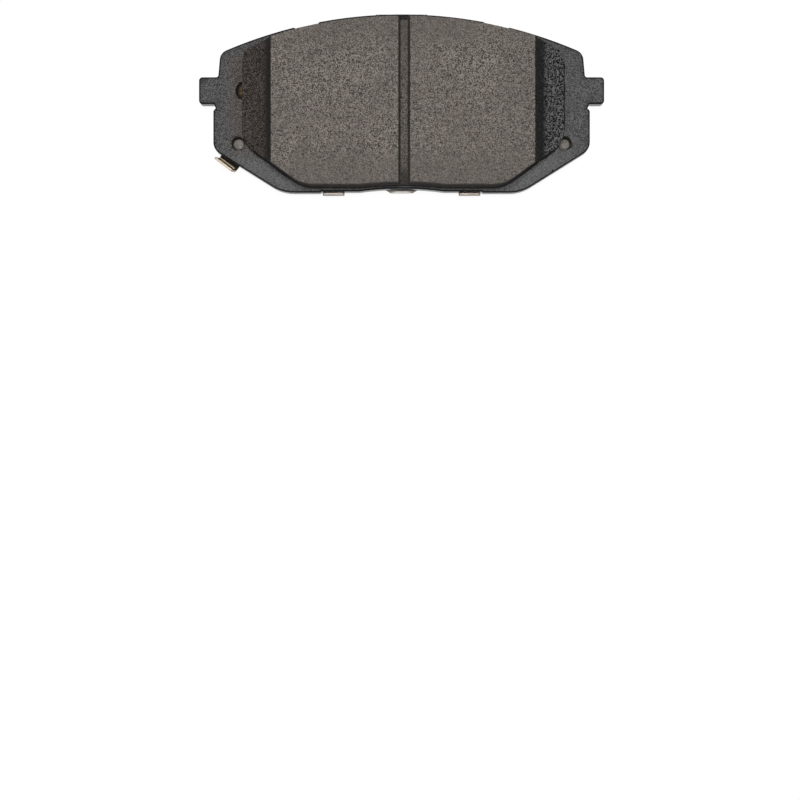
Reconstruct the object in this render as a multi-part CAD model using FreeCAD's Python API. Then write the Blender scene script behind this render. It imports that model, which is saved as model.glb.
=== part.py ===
import FreeCAD, Part
import math
import os

# Inner disc brake pad with a riveted wear indicator. Millimetres.
# X runs from ear to ear, Y radially outwards from the wheel axle, Z towards the disc.
# The origin is the middle of the pressure face, the back of the outer shim, where the piston pushes.

# Backing plate
body_width = 139.4          # between the abutment faces under the ears
plate_height = 66.0
plate_thickness = 6.0
crown_radius = 165.0
upper_inset = 1.8           # of the body's sides above the ears
upper_taper = 5.0           # degrees that the sides lean inwards above the ears
ear_reach = 5.3             # past the abutment faces
ear_drop = 23.3             # from the crown to the top of an ear
ear_height = 9.9
ear_corner = 1.3
ear_root = 0.9
relief_root = 0.2           # undercut below each ear: its depth at the ear
relief_depth = 0.9          # and further down
relief_height = 1.6
relief_corner = 0.4
shoulder_corner = 4.0
slant_angle = 32.1          # degrees between the lower slanted edges and the bottom
slant_run = 25.4            # length of a slanted edge along the pad
slant_corner = 5.0
slant_blend = 15.0
step_depth = 0.42           # the bottom edge is set back between two steps
step_gap = 0.85             # from a bottom tab of the shim to the step beside it
step_corner = 0.4
arch_half = 15.8
arch_rise = 1.1
arch_blend = 10.0
edge_roll = 0.4             # rounded stamped edge on the plate's two faces

# Holes in the plate
rivet_inset = 9.2           # from an abutment face
rivet_edge_distance = 6.8   # from a rivet's axis to the slanted edge
rivet_diameter = 4.9
anchor_diameter = 7.0
anchor_left_inset = 11.9    # of the outer anchor holes from the abutment faces
anchor_right_inset = 20.7
anchor_middle_half_span = 21.0
anchor_outer_y = 4.7
anchor_middle_y = 6.0
anchor_back_recess = 1.0    # the bond layer stops this far inside the back of its holes
anchor_front_recess = 1.6   # and this far inside the front where the friction doesn't cover them

# Friction material and the bond layer under it
friction_end_margin = 10.4  # inside the abutment faces
friction_offset = 0.5       # of the friction material's middle from the plate's
friction_top_margin = 2.6
friction_bottom_margin = 1.9
friction_slant_run = 22.2
friction_slant_angle = 36.0
friction_top_corner = 5.5
friction_side_corner = 9.2
friction_blend = 14.0
friction_arch_rise = 0.9
bond_thickness = 2.0
friction_thickness = 9.0
chamfer_length = 11.2       # hollow-ground ramp at each end
chamfer_end_height = 0.8    # what is left of the friction material at the foot of a ramp
chamfer_radius = 14.5
slot_width = 3.9
slot_depth = 8.0
slot_offset = 0.95

# Shims on the back, from the plate outwards: rubber, steel, rubber, stainless steel
rubber_thickness = 0.2
inner_shim_thickness = 0.6
inner_shim_end_margin = 16.7
inner_shim_margin = 1.3
rubber_inset = 0.6          # the rubber stops this far inside the edge of the steel
outer_shim_thickness = 0.5
outer_shim_end_margin = 21.7
outer_shim_margin = 3.0
shim_corner = 4.0
tab_width = 8.0
top_tab_height = 3.8
top_tab_clearance = 0.1
bottom_tab_height = 5.2
bottom_tab_clearance = 0.45
tab_bend = 0.2
tab_overlap = 4.0           # how far a folded strip reaches back over its own shim
top_tab_from_middle = 35.2
bottom_tab_from_middle = 25.3
recess_side_gap = 0.25
recess_depth = 0.6
recess_cut = 2.4            # length of the cutter, which has to pass the crown
lip_height = 3.0
lip_bend = 0.3
top_lip_base = 25.6
top_lip_width = 19.2
top_lip_clearance = 0.3
bottom_lip_base = 14.6
bottom_lip_width = 8.4
bottom_lip_clearance = 0.6
window_length = 13.0
window_width = 7.0
window_corner = 2.45
window_from_middle = 27.0
lug_radius = 5.2

# Rivets and wear indicator
rivet_head_diameter = 8.0
rivet_end_recess = 3.6      # from the front of the plate down to the end of the shank
rivet_end_bevel = 0.6
indicator_thickness = 0.8
indicator_width = 8.0
indicator_tail = 4.2        # past the rivet's axis
indicator_side_offset = 0.75
indicator_turn = 5.0        # clockwise from square to the slanted edge
indicator_gap = 1.4         # between the plate's edge and the upright leg
indicator_bend = 1.0
indicator_rise = 3.0        # of the tip above the front of the plate
indicator_lean = 0.95
indicator_tail_corner = 3.6
indicator_tip_corner = 0.4

# Heights of the layers above the pressure face
outer_rubber_z = outer_shim_thickness
inner_shim_z = outer_rubber_z + rubber_thickness
inner_rubber_z = inner_shim_z + inner_shim_thickness
plate_z = inner_rubber_z + rubber_thickness
plate_front_z = plate_z + plate_thickness
friction_z = plate_front_z + bond_thickness
face_z = friction_z + friction_thickness

# Places that several pieces share
body_half = body_width / 2
slant_foot = body_half - slant_run
rivet_x = body_half - rivet_inset
friction_half = body_half - friction_end_margin
inner_shim_half = body_half - inner_shim_end_margin
outer_shim_half = body_half - outer_shim_end_margin
step_half = bottom_tab_from_middle + tab_width / 2 + step_gap
anchor_places = (
    (-(body_half - anchor_left_inset), anchor_outer_y),
    (-anchor_middle_half_span, anchor_middle_y),
    (anchor_middle_half_span, anchor_middle_y),
    (body_half - anchor_right_inset, anchor_outer_y),
)
crown_y = plate_height / 2
foot_y = -plate_height / 2
arc_centre_y = crown_y - crown_radius
recessed_foot_y = foot_y + step_depth
slant = math.radians(slant_angle)
overcut = 1.0
fillet_share = 0.48         # of an edge that one corner's rounding may use up


def vec(x=0.0, y=0.0, z=0.0):
    return FreeCAD.Vector(x, y, z)


def slant_y(x, foot_x, base_y, angle):
    """Height of a slanted lower edge at x, from the foot where it leaves the bottom."""
    return base_y + (x - foot_x) * math.tan(angle)


def crown_arc_y(x, margin):
    """Height at x of the arc that runs a margin inside the crown."""
    return arc_centre_y + math.sqrt((crown_radius - margin) ** 2 - x ** 2)


rivet_y = (slant_y(rivet_x, slant_foot, foot_y, slant)
           + rivet_edge_distance / math.cos(slant))


def rounded_wire(edges, corners):
    """Joins edges into a closed wire, rounding corner i between edge i - 1 and edge i.

    A radius that its two edges have no room for is made smaller."""
    lengths = [edge.Length for edge in edges]
    turns = [edges[i - 1].tangentAt(edges[i - 1].LastParameter).getAngle(
             edges[i].tangentAt(edges[i].FirstParameter)) for i in range(len(edges))]
    fillets = []
    for i, (x, y, radius) in enumerate(corners):
        if radius <= 0:
            continue
        room = fillet_share * min(lengths[i - 1], lengths[i]) / math.tan(turns[i] / 2)
        rounding = Part.ChFi2d.FilletAlgo(edges[i - 1], edges[i], Part.Plane())
        rounding.perform(min(radius, room))
        fillet, edges[i - 1], edges[i] = rounding.result(vec(x, y))
        fillets.append(fillet)
    return Part.Wire(Part.__sortEdges__(edges + fillets))


def polygon_face(corners):
    """Face with straight sides through the corners (x, y, radius)."""
    points = [vec(x, y) for x, y, radius in corners]
    edges = [Part.LineSegment(points[i - 1], points[i]).toShape() for i in range(len(points))]
    return Part.Face(rounded_wire(edges[1:] + edges[:1], corners))


def pad_face(half, top_y, arch_y):
    """Face through the right half's corners and their mirror images.

    The top edge is an arc through (0, top_y) and the middle of the bottom an arc through (0, arch_y)."""
    corners = half + [(-x, y, radius) for x, y, radius in reversed(half)]
    points = [vec(x, y) for x, y, radius in corners]
    edges = []
    for i, start in enumerate(points):
        end = points[(i + 1) % len(points)]
        if i == len(half) - 1:
            edges.append(Part.Arc(start, vec(0, arch_y), end).toShape())
        elif i == len(points) - 1:
            edges.append(Part.Arc(start, vec(0, top_y), end).toShape())
        else:
            edges.append(Part.LineSegment(start, end).toShape())
    return Part.Face(rounded_wire(edges, corners))


def slab(face, z, thickness):
    """Face raised to z and given a thickness."""
    solid = face.extrude(vec(z=thickness))
    solid.translate(vec(z=z))
    return solid


def post(x, y, z, diameter, height):
    return Part.makeCylinder(diameter / 2, height, vec(x, y, z))


def plate_face():
    """Outline of the backing plate."""
    ear_half = body_half + ear_reach
    upper_half = body_half - upper_inset
    ear_top = crown_y - ear_drop
    ear_bottom = ear_top - ear_height
    relief_y = ear_bottom - relief_height
    # the shoulder is where the leaning side meets the crown arc
    lean = math.radians(upper_taper)
    start = vec(upper_half, ear_top - arc_centre_y)
    direction = vec(-math.sin(lean), math.cos(lean))
    along = start.dot(direction)
    reach = -along + math.sqrt(along ** 2 - start.dot(start) + crown_radius ** 2)
    shoulder = start + direction * reach
    half = [
        (shoulder.x, shoulder.y + arc_centre_y, shoulder_corner),
        (upper_half, ear_top, ear_root),
        (ear_half, ear_top, ear_corner),
        (ear_half, ear_bottom, ear_corner),
        (body_half - relief_root, ear_bottom, relief_corner),
        (body_half - relief_depth, relief_y, relief_corner),
        (body_half, relief_y - relief_depth, relief_corner),
        (body_half, slant_y(body_half, slant_foot, foot_y, slant), slant_corner),
        (slant_foot, foot_y, slant_blend),
        (step_half, foot_y, step_corner),
        (step_half - step_depth, recessed_foot_y, step_corner),
        (arch_half, recessed_foot_y, arch_blend),
    ]
    return pad_face(half, crown_y, recessed_foot_y + arch_rise)


def layer_face(half_length, top_margin, foot_margin, foot_x, angle, corners, rise):
    """Outline that follows the plate inside its edges: the friction material or a shim."""
    base_y = foot_y + foot_margin
    top_corner, side_corner, blend = corners
    half = [(half_length, crown_arc_y(half_length, top_margin), top_corner)]
    if half_length > foot_x:
        half.append((half_length, slant_y(half_length, foot_x, base_y, angle), side_corner))
        half.append((foot_x, base_y, blend))
    else:
        half.append((half_length, base_y, side_corner))
    half.append((arch_half, base_y, arch_blend))
    return pad_face(half, crown_y - top_margin, base_y + rise)


def friction_face():
    corners = (friction_top_corner, friction_side_corner, friction_blend)
    face = layer_face(friction_half, friction_top_margin, friction_bottom_margin,
                      friction_half - friction_slant_run, math.radians(friction_slant_angle),
                      corners, friction_arch_rise)
    face.translate(vec(friction_offset))
    return face


def shim_face(half_length, margin):
    """Shim outline, a margin inside the plate's long edges and cut off at its own length."""
    # the slanted edge moves inwards by the margin, so its foot moves along the bottom
    foot_x = slant_foot - margin * math.tan(slant / 2)
    corners = (shim_corner, shim_corner, shim_corner)
    return layer_face(half_length, margin, margin + step_depth, foot_x, slant, corners, arch_rise)


def folded_strip(start, reach, height, thickness, width, bend, lean=0.0):
    """Strip along +X from start to reach, folded upwards at its outer end."""
    profile = polygon_face([
        (start, 0, 0),
        (reach, 0, bend + thickness),
        (reach + lean, height, 0),
        (reach + lean - thickness, height, 0),
        (reach - thickness, thickness, bend),
        (start, thickness, 0),
    ])
    profile.rotate(vec(), vec(1), 90)
    strip = profile.extrude(vec(y=width))
    strip.translate(vec(y=-width / 2))
    return strip


def placed(shape, angle, x, y, z):
    """Turns a shape about Z and then moves it."""
    shape.rotate(vec(), vec(z=1), angle)
    shape.translate(vec(x, y, z))
    return shape


def top_tab_angles():
    """Directions from the crown's centre to the two top tabs, in degrees."""
    offset = math.degrees(math.asin(top_tab_from_middle / crown_radius))
    return (90 - offset, 90 + offset)


def make_backing_plate():
    plate = slab(plate_face(), plate_z, plate_thickness)
    width = tab_width + 2 * recess_side_gap
    floor = crown_radius - recess_depth
    for angle in top_tab_angles():
        cutter = Part.makeBox(recess_cut, width, plate_thickness + 2 * overcut,
                              vec(floor, -width / 2, plate_z - overcut))
        plate = plate.cut(placed(cutter, angle, 0, arc_centre_y, 0))
    for z in (plate_z, plate_front_z):
        rim = [edge for edge in plate.Edges
               if abs(edge.BoundBox.ZMin - z) < 1e-6 and abs(edge.BoundBox.ZMax - z) < 1e-6]
        plate = plate.makeChamfer(edge_roll, rim)
    for x, y in anchor_places:
        plate = plate.cut(post(x, y, plate_z - overcut, anchor_diameter, plate_thickness + 2 * overcut))
    for x in (-rivet_x, rivet_x):
        plate = plate.cut(post(x, rivet_y, plate_z - overcut, rivet_diameter,
                               plate_thickness + 2 * overcut))
    return plate


def make_bond_layer():
    """Layer under the friction material, keyed into the plate's anchor holes."""
    layer = slab(friction_face(), plate_front_z, bond_thickness)
    covered = slab(friction_face(), plate_z, plate_thickness)
    plug_z = plate_z + anchor_back_recess
    for x, y in anchor_places:
        hole = post(x, y, plug_z, anchor_diameter, plate_front_z - plug_z)
        plug = post(x, y, plug_z, anchor_diameter, plate_front_z - anchor_front_recess - plug_z)
        layer = layer.fuse([plug, hole.common(covered)])
    return layer.removeSplitter()


def make_friction_block():
    block = slab(friction_face(), friction_z, friction_thickness)
    end_x = friction_offset + friction_half
    edge_x = end_x - chamfer_length
    end_z = friction_z + chamfer_end_height
    middle = vec((edge_x + end_x) / 2, 0, (face_z + end_z) / 2)
    chord = vec(chamfer_length, 0, end_z - face_z)
    hollow = chamfer_radius - math.sqrt(chamfer_radius ** 2 - (chord.Length / 2) ** 2)
    inwards = vec(chord.z, 0, -chord.x).normalize()
    points = [vec(edge_x, 0, face_z), vec(end_x, 0, end_z), vec(end_x + overcut, 0, end_z),
              vec(end_x + overcut, 0, face_z + overcut), vec(edge_x, 0, face_z + overcut)]
    ramp = Part.Arc(points[0], middle + inwards * hollow, points[1]).toShape()
    sides = Part.makePolygon(points[1:] + points[:1]).Edges
    profile = Part.Face(Part.Wire(Part.__sortEdges__([ramp] + sides)))
    profile.translate(vec(y=-plate_height))
    cutter = profile.extrude(vec(y=2 * plate_height))
    block = block.cut([cutter, cutter.mirror(vec(friction_offset), vec(1))])
    slot = Part.makeBox(slot_width, 2 * plate_height, slot_depth + overcut,
                        vec(slot_offset - slot_width / 2, -plate_height, face_z - slot_depth))
    return block.cut(slot)


def lug(z, thickness):
    """Tongue that carries the inner shim out to the right rivet."""
    end = post(rivet_x, rivet_y, z, 2 * lug_radius, thickness)
    start_x = inner_shim_half - tab_overlap - lug_radius
    neck = Part.makeBox(rivet_x - start_x, 2 * lug_radius, thickness,
                        vec(start_x, rivet_y - lug_radius, z))
    return end.fuse(neck)


def make_inner_shim():
    shim = slab(shim_face(inner_shim_half, inner_shim_margin), inner_shim_z, inner_shim_thickness)
    strips = [lug(inner_shim_z, inner_shim_thickness)]
    top_reach = crown_radius - recess_depth + top_tab_clearance + inner_shim_thickness
    for angle in top_tab_angles():
        tab = folded_strip(top_reach - tab_overlap, top_reach, top_tab_height, inner_shim_thickness,
                           tab_width, tab_bend)
        strips.append(placed(tab, angle, 0, arc_centre_y, inner_shim_z))
    bottom_reach = -recessed_foot_y + bottom_tab_clearance + inner_shim_thickness
    for x in (-bottom_tab_from_middle, bottom_tab_from_middle):
        tab = folded_strip(bottom_reach - tab_overlap, bottom_reach, bottom_tab_height,
                           inner_shim_thickness, tab_width, tab_bend)
        strips.append(placed(tab, -90, x, 0, inner_shim_z))
    shim = shim.fuse(strips).removeSplitter()
    hole = post(rivet_x, rivet_y, inner_shim_z - overcut, rivet_diameter,
                inner_shim_thickness + 2 * overcut)
    return shim.cut(hole)


def make_rubber(z):
    """Damping film on one face of the inner shim."""
    face = shim_face(inner_shim_half - rubber_inset, inner_shim_margin + rubber_inset)
    return slab(face, z, rubber_thickness)


def make_inner_rubber():
    """The film against the plate also backs the lug at the right rivet."""
    film = make_rubber(inner_rubber_z).fuse(lug(inner_rubber_z, rubber_thickness))
    hole = post(rivet_x, rivet_y, inner_rubber_z - overcut, rivet_diameter,
                rubber_thickness + 2 * overcut)
    return film.removeSplitter().cut(hole)


def tapered_lip(reach, base, width, taper_reach, root):
    """Lip folded up past a long edge: its ends are cut off at a slant from taper_reach outwards."""
    lip = folded_strip(reach - root, reach, lip_height, outer_shim_thickness, base, lip_bend)
    plan = polygon_face([
        (0, -base / 2, 0),
        (taper_reach, -base / 2, 0),
        (reach, -width / 2, 0),
        (reach, width / 2, 0),
        (taper_reach, base / 2, 0),
        (0, base / 2, 0),
    ])
    return lip.common(slab(plan, -overcut, lip_height + 2 * overcut))


def make_outer_shim():
    shim = slab(shim_face(outer_shim_half, outer_shim_margin), 0, outer_shim_thickness)
    root = outer_shim_margin + tab_overlap
    top_edge = crown_arc_y(top_lip_base / 2, 0)
    top_reach = crown_y + top_lip_clearance + outer_shim_thickness
    bottom_edge = -(recessed_foot_y + arch_rise)
    bottom_reach = bottom_edge + bottom_lip_clearance + outer_shim_thickness
    lips = [
        placed(tapered_lip(top_reach, top_lip_base, top_lip_width, top_edge, root), 90, 0, 0, 0),
        placed(tapered_lip(bottom_reach, bottom_lip_base, bottom_lip_width, bottom_edge, root),
               -90, 0, 0, 0),
    ]
    shim = shim.fuse(lips).removeSplitter()
    for x in (-window_from_middle, window_from_middle):
        opening = polygon_face([
            (x - window_length / 2, -window_width / 2, window_corner),
            (x + window_length / 2, -window_width / 2, window_corner),
            (x + window_length / 2, window_width / 2, window_corner),
            (x - window_length / 2, window_width / 2, window_corner),
        ])
        shim = shim.cut(slab(opening, -overcut, outer_shim_thickness + 2 * overcut))
    return shim


def make_rivet(x, clamped):
    """Rivet pressed in from the back: its head lies against what it clamps on the plate."""
    head_top = plate_z - clamped
    end_z = plate_front_z - rivet_end_recess
    head = post(x, rivet_y, 0, rivet_head_diameter, head_top)
    shank = post(x, rivet_y, head_top, rivet_diameter, end_z - head_top)
    end = [edge for edge in shank.Edges if edge.BoundBox.ZMin > end_z - 1e-6]
    return head.fuse(shank.makeChamfer(rivet_end_bevel, end)).removeSplitter()


def make_wear_indicator():
    """Springy strip under the left rivet, folded up past the slanted edge of the plate."""
    reach = rivet_edge_distance + indicator_gap + indicator_thickness
    rise = indicator_thickness + plate_thickness + indicator_rise
    strip = folded_strip(-indicator_tail, reach, rise, indicator_thickness, indicator_width,
                         indicator_bend, indicator_lean)
    half = indicator_width / 2
    plan = polygon_face([
        (-indicator_tail, -half, indicator_tail_corner),
        (reach + indicator_lean + overcut, -half, 0),
        (reach + indicator_lean + overcut, half, 0),
        (-indicator_tail, half, indicator_tail_corner),
    ])
    front = polygon_face([
        (-overcut, -half, 0),
        (rise, -half, indicator_tip_corner),
        (rise, half, indicator_tip_corner),
        (-overcut, half, 0),
    ])
    front.rotate(vec(), vec(y=1), -90)
    front.translate(vec(-indicator_tail - overcut))
    upright = front.extrude(vec(indicator_tail + reach + indicator_lean + 2 * overcut))
    strip = strip.common(slab(plan, -overcut, rise + 2 * overcut)).common(upright)
    strip.translate(vec(y=indicator_side_offset))
    strip = strip.cut(post(0, 0, -overcut, rivet_diameter, indicator_thickness + 2 * overcut))
    return placed(strip, 270 - slant_angle - indicator_turn, -rivet_x, rivet_y, plate_z - indicator_thickness)


pieces = {
    "backing_plate": make_backing_plate(),
    "bond_layer": make_bond_layer(),
    "friction_block": make_friction_block(),
    "inner_shim": make_inner_shim(),
    "shim_rubber_plate_side": make_inner_rubber(),
    "shim_rubber_piston_side": make_rubber(outer_rubber_z),
    "outer_shim": make_outer_shim(),
    "indicator_rivet": make_rivet(-rivet_x, indicator_thickness),
    "shim_rivet": make_rivet(rivet_x, inner_shim_thickness + rubber_thickness),
    "wear_indicator": make_wear_indicator(),
}

os.makedirs("parts", exist_ok=True)
for name, shape in pieces.items():
    shape.exportStep("parts/%s.step" % name)
    print("%-26s %8.1f mm3  solids %d  valid %s"
          % (name, shape.Volume, len(shape.Solids), shape.isValid()))
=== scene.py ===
import math

import bmesh
import bpy
import numpy as np
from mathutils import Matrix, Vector
from mathutils.geometry import delaunay_2d_cdt


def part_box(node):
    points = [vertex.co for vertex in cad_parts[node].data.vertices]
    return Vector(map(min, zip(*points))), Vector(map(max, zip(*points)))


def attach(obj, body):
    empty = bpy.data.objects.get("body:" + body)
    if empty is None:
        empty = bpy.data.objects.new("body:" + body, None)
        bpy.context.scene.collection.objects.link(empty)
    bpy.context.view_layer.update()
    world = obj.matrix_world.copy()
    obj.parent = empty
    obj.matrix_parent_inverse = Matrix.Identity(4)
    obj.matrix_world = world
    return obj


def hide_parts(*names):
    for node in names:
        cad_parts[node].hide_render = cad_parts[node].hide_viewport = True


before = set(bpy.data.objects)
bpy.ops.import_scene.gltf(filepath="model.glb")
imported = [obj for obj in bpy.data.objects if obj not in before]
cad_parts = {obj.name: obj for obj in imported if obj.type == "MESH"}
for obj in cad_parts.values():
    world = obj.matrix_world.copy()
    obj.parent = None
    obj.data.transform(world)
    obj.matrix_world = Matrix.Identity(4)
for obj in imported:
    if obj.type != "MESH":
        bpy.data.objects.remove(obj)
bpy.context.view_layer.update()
mm = 0.001      # shapes are worked out in millimetres and put into the meshes in metres


# heights of the layers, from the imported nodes

def layerHeight(nodeName, top):
    return round(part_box(nodeName)[1 if top else 0].z / mm, 4)


plateBack, plateFront = layerHeight("backing_plate", False), layerHeight("backing_plate", True)
frictionBack, frictionFace = layerHeight("friction_block", False), layerHeight("friction_block", True)
innerShimBack = layerHeight("inner_shim", False)
outerShimBack = layerHeight("outer_shim", False)
indicatorBack, indicatorTip = layerHeight("wear_indicator", False), layerHeight("wear_indicator", True)
print("frame loaded, %d nodes" % len(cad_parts))


# paths

def roundedPath(rows, pitch, closed=True, arcSteps=6):
    # rows are corners (x, y, radius). Each corner becomes an arc that touches both of its edges,
    # and the straight parts are cut into steps of one pitch. Gives points and outward normals.
    rows = np.asarray(rows, float)
    corner, radius = rows[:, :2], rows[:, 2]
    back = np.roll(corner, 1, 0) - corner
    ahead = np.roll(corner, -1, 0) - corner
    backLength, aheadLength = np.linalg.norm(back, axis=1), np.linalg.norm(ahead, axis=1)
    back, ahead = back / backLength[:, None], ahead / aheadLength[:, None]
    turn = np.pi - np.arccos(np.clip((back * ahead).sum(1), -1, 1))
    half = np.maximum(np.tan(turn / 2), 1e-6)
    reach = np.minimum(np.maximum(radius, 1e-3) * half, 0.48 * np.minimum(backLength, aheadLength))
    radius = reach / half
    side = np.sign(ahead[:, 1] * -back[:, 0] + ahead[:, 0] * back[:, 1])
    side[side == 0] = 1
    # the arc starts a reach back along the first edge and turns about its centre
    start = np.stack([-back[:, 1], back[:, 0]], 1) * -side[:, None]
    spoke = -start * radius[:, None]
    centre = corner + back * reach[:, None] - spoke
    angle = side[:, None] * turn[:, None] * np.linspace(0, 1, arcSteps + 1)
    cos, sin = np.cos(angle), np.sin(angle)
    arm = np.stack([spoke[:, :1] * cos - spoke[:, 1:] * sin, spoke[:, :1] * sin + spoke[:, 1:] * cos], 2)
    points = centre[:, None] + arm
    normals = arm / np.maximum(np.linalg.norm(arm, axis=2, keepdims=True), 1e-9) * side[:, None, None]
    if not closed:
        points[0], points[-1] = corner[0], corner[-1]
        normals[0], normals[-1] = normals[1, 0], normals[-2, -1]
    points, normals = points.reshape(-1, 2), normals.reshape(-1, 2)
    if closed:
        points, normals = np.vstack([points, points[:1]]), np.vstack([normals, normals[:1]])
    along = np.concatenate([[0], np.cumsum(np.linalg.norm(np.diff(points, axis=0), axis=1))])
    keep = np.concatenate([[True], np.diff(along) > 1e-5])
    points, normals, along = points[keep], normals[keep], along[keep]
    gaps = np.diff(along)
    cuts = np.maximum(np.ceil(gaps / pitch).astype(int), 1)
    first = np.repeat(np.cumsum(cuts) - cuts, cuts)
    share = (np.arange(cuts.sum()) - first) / np.repeat(cuts, cuts)
    at = np.repeat(along[:-1], cuts) + share * np.repeat(gaps, cuts)
    if not closed:
        at = np.append(at, along[-1])
    points = np.stack([np.interp(at, along, points[:, k]) for k in (0, 1)], 1)
    normals = np.stack([np.interp(at, along, normals[:, k]) for k in (0, 1)], 1)
    return points, normals / np.linalg.norm(normals, axis=1, keepdims=True), at


def arcRows(centre, radius, start, end, count):
    # corners spaced evenly on a circle, the two ends left out
    angle = np.linspace(start, end, count + 2)[1:-1]
    return np.stack([centre[0] + radius * np.cos(angle), centre[1] + radius * np.sin(angle),
                     np.full(count, 0.98 * radius)], 1)


def circleLoop(x, y, radius, steps=56):
    # a hole runs clockwise, and its normals point away from the metal, to the axis
    angle = -np.linspace(0, 2 * np.pi, steps, endpoint=False)
    ray = np.stack([np.cos(angle), np.sin(angle)], 1)
    return np.array([x, y]) + radius * ray, -ray


def quarter(fromPoint, toPoint, flatFirst, steps=5):
    # quarter of an ellipse between two profile points, leaving the first one flat or upright
    t = np.linspace(0, np.pi / 2, steps + 1)[1:]
    a, b = (np.sin(t), 1 - np.cos(t)) if flatFirst else (1 - np.cos(t), np.sin(t))
    return np.stack([fromPoint[0] + (toPoint[0] - fromPoint[0]) * a,
                     fromPoint[1] + (toPoint[1] - fromPoint[1]) * b], 1)


def edgeProfile(back, front, frontRoll, backRoll, wallSteps, rim=0.1):
    # (outset, height) from the front face over its rolled edge, down the wall and round to the back
    wide, deep = frontRoll
    wall = np.stack([np.zeros(wallSteps), np.linspace(front - deep, back + backRoll, wallSteps + 1)[1:]], 1)
    return np.vstack([[(-wide - rim, front), (-wide, front)],
                      quarter((-wide, front), (0, front - deep), True), wall,
                      quarter((0, back + backRoll), (-backRoll, back), False, 3), [(-backRoll - rim, back)]])


# meshes

def smoothNoise(points, cell, seed):
    # random values on a cubic lattice, eased and mixed between its corners, from -1 to 1
    table = np.random.default_rng(seed).uniform(-1, 1, (32, 32, 32))
    scaled = np.asarray(points) / cell
    base = np.floor(scaled).astype(int)
    part = scaled - base
    part = part * part * (3 - 2 * part)
    total = 0
    for corner in range(8):
        step = np.array([corner & 1, corner >> 1 & 1, corner >> 2])
        index = (base + step) % 32
        weight = np.prod(np.where(step, part, 1 - part), axis=1)
        total = total + weight * table[index[:, 0], index[:, 1], index[:, 2]]
    return total


def gridFaces(rows, columns):
    # quads between neighbouring rows, closing round the columns
    i, j = np.meshgrid(np.arange(rows - 1), np.arange(columns), indexing="ij")
    i, j, k = i.ravel(), j.ravel(), (j.ravel() + 1) % columns
    return np.stack([i * columns + j, (i + 1) * columns + j, (i + 1) * columns + k, i * columns + k], 1)


def insideLoop(points, loop):
    # counts how often a ray to the right of each point crosses the loop
    a, b = loop, np.roll(loop, -1, 0)
    x, y = points[:, :1], points[:, 1:]
    span = (a[:, 1] > y) != (b[:, 1] > y)
    rise = np.where(b[:, 1] == a[:, 1], 1e-12, b[:, 1] - a[:, 1])
    return (span & (x < (b[:, 0] - a[:, 0]) * (y - a[:, 1]) / rise + a[:, 0])).sum(1) % 2 == 1


def gapTo(points, targets):
    # distance from each point to the nearest target
    return np.concatenate([np.linalg.norm(part[:, None] - targets[None], axis=2).min(1)
                           for part in np.array_split(points, max(len(points) // 400, 1))])


def sheetShell(loops, profile, cell=0.0):
    # one edge profile carried round every loop, and the two flat faces filled with triangles.
    # A cell size spreads inner points over the faces.
    vertices, faces, rings, count = [], [], [], 0
    for points, normals in loops:
        ring = points[None] + normals[None] * profile[:, 0][:, None, None]
        height = np.broadcast_to(profile[:, 1][:, None, None], ring.shape[:2] + (1,))
        vertices.append(np.concatenate([ring, height], 2).reshape(-1, 3))
        faces.append(gridFaces(len(profile), len(points)) + count)
        rings.append((count, len(points)))
        count += len(points) * len(profile)
    triangles = []
    for end, height in ((0, profile[0, 1]), (len(profile) - 1, profile[-1, 1])):
        index = [first + end * size + np.arange(size) for first, size in rings]
        outlines = [np.vstack(vertices)[i][:, :2] for i in index]
        fixed = np.vstack(outlines)
        inner = np.zeros((0, 2))
        if cell:
            low, high = outlines[0].min(0), outlines[0].max(0)
            gx, gy = np.meshgrid(np.arange(low[0], high[0], cell), np.arange(low[1], high[1], cell))
            inner = np.stack([gx.ravel(), gy.ravel()], 1)
            keep = insideLoop(inner, outlines[0])
            for hole in outlines[1:]:
                keep &= ~insideLoop(inner, hole)
            inner = inner[keep]
            inner = inner[gapTo(inner, fixed) > 0.6 * cell]
        starts = np.cumsum([0] + [len(o) for o in outlines])
        edges = np.vstack([np.stack([np.arange(len(o)), np.roll(np.arange(len(o)), -1)], 1) + s
                           for o, s in zip(outlines, starts)])
        flat = np.vstack([fixed, inner])
        filled = delaunay_2d_cdt([Vector(p) for p in flat.tolist()], edges.tolist(), [], 0, 1e-6)
        if len(filled[0]) != len(flat):
            raise ValueError("the outline of a sheet crosses itself")
        origin = np.array([ids[0] for ids in filled[3]])
        tris = origin[np.array(filled[2])]
        middle = flat[tris].mean(1)
        solid = insideLoop(middle, outlines[0])
        for hole in outlines[1:]:
            solid &= ~insideLoop(middle, hole)
        tris = tris[solid]
        a, b, c = flat[tris[:, 0]], flat[tris[:, 1]], flat[tris[:, 2]]
        area = (b[:, 0] - a[:, 0]) * (c[:, 1] - a[:, 1]) - (b[:, 1] - a[:, 1]) * (c[:, 0] - a[:, 0])
        wrong = (area < 0) == (end == 0)
        tris[wrong] = tris[wrong][:, ::-1]
        place = np.concatenate(index + [count + np.arange(len(inner))])
        triangles.append(place[tris])
        vertices.append(np.concatenate([inner, np.full((len(inner), 1), height)], 1))
        count += len(inner)
    return np.vstack(vertices), np.vstack(faces), np.vstack(triangles)


def turned(shell, angle, origin):
    # local (outwards, across, up) laid along a direction in the plane, from an origin
    vertices, quads, triangles = shell
    cos, sin = math.cos(angle), math.sin(angle)
    x, y, z = vertices.T
    placed = np.stack([origin[0] + x * cos - y * sin, origin[1] + x * sin + y * cos, origin[2] + z], 1)
    return placed, quads, triangles


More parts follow.
